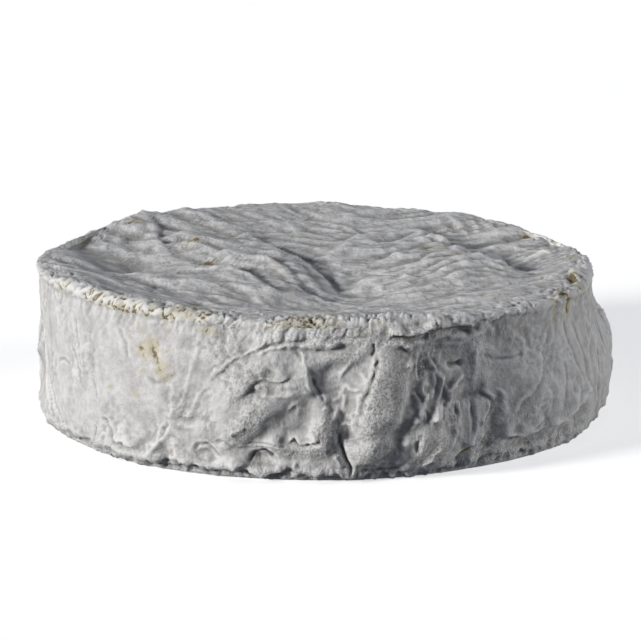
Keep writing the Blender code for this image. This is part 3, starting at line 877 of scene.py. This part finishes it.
        hanging = np.stack([self.arc + 0.5 * self.past_rim, self.past_rim / 4, wander], axis=1)
        # painted light: the pleats at the front are painted lighter where the real ones catch more
        # light
        self.pale = fringe * self.about(PAINTED_LIGHT_PLEATS)
        self.relief += fringe * pleated * 0.8 * self.grain.sum(hanging, 1.8, 2, 0.6)
        self.relief += fringe * (0.2 + patchy) * pleated * 0.3 * edge
        # the rim is rolled over at the front, and a little raised at the left
        rolled = np.exp(-(((self.past_rim - 1) / 2.4) ** 2))
        self.relief -= 1.4 * self.about(ROLLED_RIM) * rolled
        self.relief += 0.45 * self.about(RAISED_RIM) * step(-9, -1, self.past_rim) * self.top
        gaps = (1 - step(0.05, 0.3, following - pleat)) * fringe * pleated
        near_edge = step(-3.4, -0.4, self.past_rim) * step(2.2, 0.5, self.past_rim)
        ochre = 0.6 * self.about(OCHRE_LEFT) + 0.5 * self.about(OCHRE_RIGHT) + 0.5
        patches = step(-0.25, 0.15, self.grain.at(self.places + 77, 6))
        bare = np.maximum(cracks * near_edge, 0.7 * gaps) * ochre * patches
        self.bare = np.maximum(self.bare, np.clip(1.1 * bare, 0, 1))

    def press_foot(self):
        """The ragged, lumpy foot, where the rind was pressed against its shelf."""
        noise, places = self.grain, self.places
        pushed = places + 1.6 * noise.drift(places, 5)
        ragged = 2.2 * noise.at(places + 33, 7)
        band = step(5.2 + ragged, 1.8, places[:, 2]) * (1 - self.top) * (1 - self.under)
        calm = 1 - 0.5 * self.about(CALM_FOOT)
        self.relief += band * calm * 0.5 * (0.55 - pillows(pushed, 4.2, 35))
        self.relief += band * calm * 0.5 * (pillows(pushed, 2.3, 36) - 0.5)
        self.relief += band * 0.8 * noise.sum(pushed, 4, 4, 0.65)
        # the torn edge of the rind, which stands out over the lowest part
        edge = 1.7 + 2.4 * noise.at(places + 63, 5) + 1.2 * noise.at(places + 64, 1.8)
        below = step(0.5, -0.35, places[:, 2] - edge) * (1 - self.top) * (1 - self.under)
        self.relief -= 0.9 * (0.35 + 0.65 * self.about(TORN_FOOT)) * below
        lowest = np.minimum(noise.sum(places + 88, 2.2, 3, 0.7), 0.3)
        self.relief += 1.2 * step(1.6, 0.6, places[:, 2]) * lowest
        self.powder = np.maximum(self.powder, 0.6 * band)

    def press_wild(self, draw):
        """Folds and mounds in the same style round the back."""
        for _ in range(WILD_MOUNDS):
            angle = draw.uniform(WILD_FROM, WILD_TO)
            self.press_mound(Mound(
                angle, draw.uniform(4, 25), draw.uniform(2.5, 6), draw.uniform(1.6, 3),
                draw.uniform(0, 180), draw.choice((-0.5, 0.6, 0.8)), draw.choice((1, 2)),
            ))
        for _ in range(WILD_FOLDS):
            angle, height = draw.uniform(WILD_FROM, WILD_TO), draw.uniform(4, 26)
            way = draw.uniform(0, math.tau)
            points = []
            for _ in range(4):
                points.append((angle, min(max(height, 2.5), 27.5)))
                way += draw.uniform(-0.7, 0.7)
                stride = draw.uniform(1.6, 4.2)
                angle += stride * math.cos(way)
                height += stride * math.sin(way)
            form = draw.choice(("lip", "ridge", "crease", "lip"))
            self.press_fold(Fold(form, draw.uniform(0.3, 0.8), draw.uniform(0.4, 0.8), points))

    def press_all(self):
        self.press_swells()
        self.press_streaks()
        for on_top, folds, mounds in (
            (False, SIDE_FOLDS, SIDE_MOUNDS), (True, TOP_FOLDS, TOP_MOUNDS)
        ):
            for fold in folds:
                self.press_fold(fold, on_top)
            for mound in mounds:
                self.press_mound(mound, on_top)
        self.press_wild(np.random.default_rng(WILD_SEED))
        self.press_rim()
        self.press_foot()
        for on_top, stains in ((False, SIDE_STAINS), (True, TOP_STAINS)):
            for stain in stains:
                self.stain(stain, on_top)

    def pressed(self, scale):
        """The points with the relief pressed in. Nothing goes below the foot's plane."""
        keep = 1 - step(0.5, 0.0, self.places[:, 2])
        level = np.average(self.relief, weights=self.side) * self.side
        level += np.average(self.relief, weights=self.top) * self.top
        places = self.places + self.outward * (scale * (self.relief - level) * keep)[:, None]
        places[:, 2] = np.maximum(places[:, 2], 0)
        return places


def hollowness(mesh, places, outward, rounds):
    """How far each point lies under the mean of those around it: positive in a crease."""
    ends = np.zeros(len(mesh.edges) * 2, int)
    mesh.edges.foreach_get("vertices", ends)
    first, second = ends.reshape(-1, 2).T
    count = np.bincount(ends, minlength=len(places))[:, None]
    mean = places.copy()
    for _ in range(rounds):
        total = np.zeros_like(places)
        for axis in range(3):
            total[:, axis] = np.bincount(first, mean[second, axis], len(places))
            total[:, axis] += np.bincount(second, mean[first, axis], len(places))
        mean = total / count
    return np.einsum("ij,ij->i", mean - places, outward)


class Link:
    """A socket of a material's nodes, which can be added and multiplied as a number can."""

    def __init__(self, maker, socket):
        self.maker = maker
        self.socket = socket

    def maths(self, operation, *values, clamp=False):
        settings = {"operation": operation, "use_clamp": clamp}
        return self.maker.node("ShaderNodeMath", settings, values)

    def __add__(self, other):
        return self.maths("ADD", self, other)

    def __sub__(self, other):
        return self.maths("SUBTRACT", self, other)

    def __rsub__(self, other):
        return self.maths("SUBTRACT", other, self)

    def __mul__(self, other):
        return self.maths("MULTIPLY", self, other)

    __radd__ = __add__
    __rmul__ = __mul__

    def held(self):
        """The value kept between 0 and 1."""
        return self.maths("ADD", self, 0, clamp=True)

    def step(self, low, high):
        """0 at low, 1 at high, and an even S between them."""
        settings = {"interpolation_type": "SMOOTHSTEP"}
        return self.maker.node("ShaderNodeMapRange", settings, (self, low, high))


class Maker:
    """Makes the nodes of one material, or of the world."""

    def __init__(self, owner, shader="Principled BSDF"):
        owner.use_nodes = True
        self.owner = owner
        self.tree = owner.node_tree
        self.shader = self.tree.nodes[shader]

    def join(self, value, socket):
        if isinstance(value, Link):
            self.tree.links.new(value.socket, socket)
        else:
            socket.default_value = value

    def node(self, kind, settings, values, output=0):
        """Adds a node: its settings first, then its sockets, by place or by name."""
        made = self.tree.nodes.new(kind)
        for name, value in settings.items():
            setattr(made, name, value)
        pairs = values.items() if isinstance(values, dict) else enumerate(values)
        for key, value in pairs:
            self.join(value, made.inputs[key])
        return Link(self, made.outputs[output])

    def attribute(self, name):
        return self.node("ShaderNodeAttribute", {"attribute_name": name}, (), "Fac")

    def noise(self, spots, scale, detail=3.0, roughness=0.5):
        values = {"Vector": spots, "Scale": scale, "Detail": detail, "Roughness": roughness}
        return self.node("ShaderNodeTexNoise", {}, values)

    def blend(self, share, first, second):
        """A mix of two colours: the first at 0, the second at 1."""
        values = {0: share, 6: first, 7: second}
        return self.node("ShaderNodeMix", {"data_type": "RGBA"}, values, 2)

    def finish(self, **values):
        """Sets the shader's sockets, with underscores in place of spaces."""
        for name, value in values.items():
            self.join(value, self.shader.inputs[name.replace("_", " ")])
        return self.owner


def opaque(colour):
    return (*colour, 1.0)


GRAIN_DEPTH = 0.35  # depth of the powdery grain in the material's bump, in millimetres
# What every colour setting has in common
COLOUR = {"subtype": "COLOR", "min": 0.0, "max": 1.0}


def white_rind(settings):
    """Powdery white mould with ochre rind where it is thin, painted grey shade in its creases
    and hollows, and a painted highlight on its crests.
    """
    make = Maker(bpy.data.materials.new("white_rind"))
    spots = make.node("ShaderNodeTexCoord", {}, (), "Object")
    crease_shade_and_ochre, painted_highlight, bare, powder, lid = map(
        make.attribute, ("crease", "painted_highlight", "bare", "powder", "lid")
    )
    # noises of so many waves to the metre, from blotches of 5 mm down to grains of 0.4 mm
    clouds = make.noise(spots, 200, 6, 0.65)
    wrinkles = make.noise(spots, 420, 2, 0.5)
    flecks = make.noise(spots, 900, 4, 0.7)
    fuzz = make.noise(spots, 2300, 3, 0.65)

    thin = (0.6 * clouds + 0.4 * flecks).step(0.38, 0.62)
    warm = (bare * 1.7 + crease_shade_and_ochre * bare + clouds * 2.2 + flecks * 1.6 - 2.5).step(0.0, 0.9)
    brown = (bare * 1.8 + crease_shade_and_ochre * bare * 1.8 + flecks * 3.2 - 3.2).step(0.0, 0.6)
    paint = opaque(settings.mould)
    for share, colour in (
        (thin, settings.shade),
        # painted shade: dark grey laid into creases and hollows, where shade falls; the same mask
        # also deepens the ochre in bare cracks
        ((crease_shade_and_ochre * 0.8).held(), settings.crease),
        # painted highlight: near white laid on the crests of folds, and painted light on the pleats
        # at the front
        ((painted_highlight * 0.75).held(), settings.painted_highlight),
        # the powdery grain's speckle: partly the mould's own grain, partly painted shade in its
        # pits and painted highlight on its tips, where the bump is low and high
        (powder * fuzz.step(0.54, 0.36) * 0.8, settings.crease),
        (powder * fuzz.step(0.56, 0.68) * 0.9, settings.painted_highlight),
        (warm * (0.8 - 0.25 * lid), settings.bare),
        (brown * 0.9, settings.brown),
    ):
        paint = make.blend(share, paint, opaque(colour))

    rough = 0.92 - 0.22 * warm - 0.12 * (1 - powder) * clouds
    height = (0.9 - 0.3 * lid) * flecks + (0.2 + 1.5 * powder) * fuzz + 2.2 * lid * wrinkles
    values = {"Strength": settings.grain, "Distance": GRAIN_DEPTH * MM, "Height": height}
    bump = make.node("ShaderNodeBump", {}, values)
    return make.finish(
        Base_Color=paint, Roughness=rough, Normal=bump,
        Sheen_Weight=0.08, Sheen_Roughness=0.5, Specular_IOR_Level=0.25,
    )


class RindSettings(bpy.types.PropertyGroup):
    """What the rind is made like."""

    columns: IntProperty(
        name="Columns", default=160, min=16,
        description="Faces along a side of the upper face's grid, a quarter of those round the rim",
    )
    side_rows: IntProperty(
        name="Side rows", description="Rows of faces down the side", default=92, min=8
    )
    crowd: FloatProperty(
        name="Crowding", default=0.5, min=0.0, max=0.6,
        description="How much the columns crowd towards the front, where the folds are finest",
    )
    relief: FloatProperty(
        name="Relief", default=1.0, min=0.0,
        description="Depth of all folds and wrinkles, as a share of the drawn depth",
    )
    grain: FloatProperty(
        name="Grain", description="Strength of the powdery grain", default=0.9, min=0.0, max=1.0
    )
    mould: FloatVectorProperty(
        name="Mould", description="Colour of the white mould",
        default=(0.78, 0.775, 0.77), **COLOUR,
    )
    shade: FloatVectorProperty(
        name="Thin mould", description="Colour of thinner, greyer mould",
        default=(0.57, 0.565, 0.555), **COLOUR,
    )
    # Painted shade: the dark grey laid into creases and hollows, and into the pits of the powdery
    # grain
    crease: FloatVectorProperty(
        name="Crease", description="Colour in the creases",
        default=(0.34, 0.33, 0.31), **COLOUR,
    )
    # Painted highlight: the near white laid on crests, on the powdery grain's tips and on the
    # pleats at the front
    painted_highlight: FloatVectorProperty(
        name="Crest", description="Colour on the crests of folds",
        default=(0.93, 0.93, 0.92), **COLOUR,
    )
    bare: FloatVectorProperty(
        name="Bare rind", description="Colour where the mould is thin",
        default=(0.66, 0.60, 0.43), **COLOUR,
    )
    brown: FloatVectorProperty(
        name="Brown specks", description="Colour in bare cracks and pits",
        default=(0.19, 0.145, 0.06), **COLOUR,
    )


class StageSettings(bpy.types.PropertyGroup):
    """How the wheel is shown."""

    distance: FloatProperty(
        name="Distance", description="From the camera to the middle of the wheel",
        default=0.6, min=0.1, unit="LENGTH",
    )
    elevation: FloatProperty(
        name="Elevation", description="How far above the horizon the camera stands",
        default=math.radians(13.5), subtype="ANGLE",
    )
    lens: FloatProperty(
        name="Lens", description="Focal length of the camera", default=176.6, min=10
    )
    key: FloatProperty(
        name="Key light", description="Strength of the light from the left", default=3.0, min=0.0
    )
    side_fill: FloatProperty(
        name="Side fill", description="Strength of the light from the right", default=1.2, min=0.0
    )
    softness: FloatProperty(
        name="Softness", description="How wide the key light looks from the wheel",
        default=math.radians(13), subtype="ANGLE",
    )
    fill: FloatProperty(
        name="Even fill", description="Strength of the light from all round", default=1.0, min=0.0
    )
    floor: FloatVectorProperty(
        name="Floor", description="Colour of the floor",
        default=(0.95, 0.95, 0.95), **COLOUR,
    )


class CHEESE_OT_rind(bpy.types.Operator):
    """Lay the wrinkled white rind over the wheel's plain form"""

    bl_idname = "cheese.rind"
    bl_label = "Make Rind"

    def execute(self, context):
        settings = context.scene.cheese_rind
        form = Form(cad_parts[WHEEL_NODE])
        bm = bmesh.new()
        blank_rind(bm, settings.columns, settings.side_rows)
        past_rim = lay_blank(bm, form, settings.side_rows, settings.crowd)
        bmesh.ops.recalc_face_normals(bm, faces=bm.faces)
        bm.verts.ensure_lookup_table()
        # the points of the upper face and the side, and none of the rounded rim and foot
        flat = [
            vertex for vertex, past in zip(bm.verts, past_rim)
            if abs(past) > 1.6 * RIM_ROUND and vertex.co.z > FOOT_ROUND
        ]
        for _ in range(SMOOTH_ROUNDS):
            bmesh.ops.smooth_vert(
                bm, verts=flat, factor=0.5, use_axis_x=True, use_axis_y=True, use_axis_z=True
            )
        mesh = bpy.data.meshes.new("rind")
        bm.to_mesh(mesh)
        bm.free()

        size = len(mesh.vertices) * 3
        places, outward = np.zeros(size), np.zeros(size)
        mesh.vertices.foreach_get("co", places)
        mesh.vertices.foreach_get("normal", outward)
        places, outward = places.reshape(-1, 3), outward.reshape(-1, 3)
        rind = Rind(form, places, outward, past_rim)
        rind.press_all()
        pressed = rind.pressed(settings.relief)
        mesh.vertices.foreach_set("co", (pressed * MM).ravel())
        mesh.update()
        mesh.shade_smooth()

        # painted shade and highlight: the crease mark darkens points lying under those around them,
        # the highlight mark lightens points standing over them, and also the pleats at the front
        fine = hollowness(mesh, pressed, outward, FINE_ROUNDS)
        broad = hollowness(mesh, pressed, outward, BROAD_ROUNDS)
        marks = {
            "crease": 0.6 * np.clip(fine / FINE_CREASE_SHADE, 0, 1)
            + 0.45 * np.clip(broad / BROAD_DEPTH, 0, 1),
            "painted_highlight": 0.75 * np.clip(-fine / FINE_CREST_HIGHLIGHT, 0, 1)
            + 0.4 * np.clip(-broad / BROAD_DEPTH, 0, 1) + 0.8 * rind.pale,
            "bare": rind.bare, "powder": rind.powder, "lid": rind.top,
        }
        for name, values in marks.items():
            attribute = mesh.attributes.new(name, "FLOAT", "POINT")
            attribute.data.foreach_set("value", values.astype(np.float32))

        piece = bpy.data.objects.new("rind", mesh)
        context.scene.collection.objects.link(piece)
        mesh.materials.append(white_rind(settings))
        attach(piece, "root")
        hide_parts(WHEEL_NODE)
        return {"FINISHED"}


class CHEESE_OT_stage(bpy.types.Operator):
    """Add the pale floor, the soft light and the camera"""

    bl_idname = "cheese.stage"
    bl_label = "Make Stage"

    def execute(self, context):
        scene = context.scene
        settings = scene.cheese_stage
        scene.view_settings.view_transform = "Standard"
        self.add_floor(scene, settings)
        self.add_lights(scene, settings)
        self.add_camera(scene, settings)
        return {"FINISHED"}

    def add_floor(self, scene, settings):
        mesh = bpy.data.meshes.new("floor")
        bm = bmesh.new()
        bmesh.ops.create_grid(bm, x_segments=1, y_segments=1, size=FLOOR_HALF)
        bm.to_mesh(mesh)
        bm.free()
        floor = bpy.data.objects.new("floor", mesh)
        scene.collection.objects.link(floor)
        make = Maker(bpy.data.materials.new("floor"))
        mesh.materials.append(make.finish(
            Base_Color=opaque(settings.floor), Roughness=0.9, Specular_IOR_Level=0.0,
            Emission_Color=opaque(settings.floor), Emission_Strength=FLOOR_GLOW,
        ))
        floor.visible_diffuse = False

    def add_sun(self, scene, name, place, strength, softness, colour):
        """A soft light from an angle round the wheel, at a rise above the floor."""
        light = bpy.data.lights.new(name, "SUN")
        light.energy = strength
        light.angle = softness
        light.color = colour
        lamp = bpy.data.objects.new(name, light)
        scene.collection.objects.link(lamp)
        turn, rise = map(math.radians, place)
        towards = Vector((
            math.sin(turn) * math.cos(rise), -math.cos(turn) * math.cos(rise), math.sin(rise)
        ))
        lamp.rotation_euler = towards.to_track_quat("Z", "Y").to_euler()

    def add_lights(self, scene, settings):
        soft = settings.softness
        self.add_sun(scene, "key", KEY_FROM, settings.key, soft, KEY_COLOUR)
        self.add_sun(
            scene, "side_fill", SIDE_FILL_FROM, settings.side_fill, 2 * soft, SIDE_FILL_COLOUR
        )
        make = Maker(bpy.data.worlds.new("studio"), "Background")
        way = make.node("ShaderNodeTexCoord", {}, (), "Generated")
        height = make.node("ShaderNodeSeparateXYZ", {}, (way,), "Z")
        values = {
            "Value": height, "From Min": -0.5, "From Max": 0.7,
            "To Min": SKY_LOW * settings.fill, "To Max": SKY_HIGH * settings.fill,
        }
        strength = make.node("ShaderNodeMapRange", {}, values, "Result")
        scene.world = make.finish(Color=SKY_COLOUR, Strength=strength)

    def add_camera(self, scene, settings):
        camera = bpy.data.objects.new("camera", bpy.data.cameras.new("camera"))
        scene.collection.objects.link(camera)
        scene.camera = camera
        camera.data.lens = settings.lens
        camera.data.sensor_width = SENSOR_WIDTH
        middle = Vector(CAMERA_MIDDLE) * MM
        rise = settings.elevation
        away = Vector((0, -math.cos(rise), math.sin(rise)))
        camera.location = middle + away * settings.distance
        aim = middle + Vector(CAMERA_AIM) * MM
        camera.rotation_euler = (camera.location - aim).to_track_quat("Z", "Y").to_euler()


class CHEESE_PT_panel(bpy.types.Panel):
    """Lists the wheel's operators and settings"""

    bl_idname = "CHEESE_PT_panel"
    bl_label = "Cheese Wheel"
    bl_space_type = "VIEW_3D"
    bl_region_type = "UI"
    bl_category = "Cheese"

    def draw(self, context):
        for settings, operator in (
            (context.scene.cheese_rind, CHEESE_OT_rind),
            (context.scene.cheese_stage, CHEESE_OT_stage),
        ):
            box = self.layout.box()
            for name in settings.__annotations__:
                box.prop(settings, name)
            box.operator(operator.bl_idname)


CLASSES = (RindSettings, StageSettings, CHEESE_OT_rind, CHEESE_OT_stage, CHEESE_PT_panel)


def register():
    for cls in CLASSES:
        bpy.utils.register_class(cls)
    bpy.types.Scene.cheese_rind = PointerProperty(type=RindSettings)
    bpy.types.Scene.cheese_stage = PointerProperty(type=StageSettings)


def unregister():
    del bpy.types.Scene.cheese_stage
    del bpy.types.Scene.cheese_rind
    for cls in reversed(CLASSES):
        bpy.utils.unregister_class(cls)


def main():
    register()
    bpy.ops.cheese.rind()
    bpy.ops.cheese.stage()


if __name__ == "__main__":
    main()
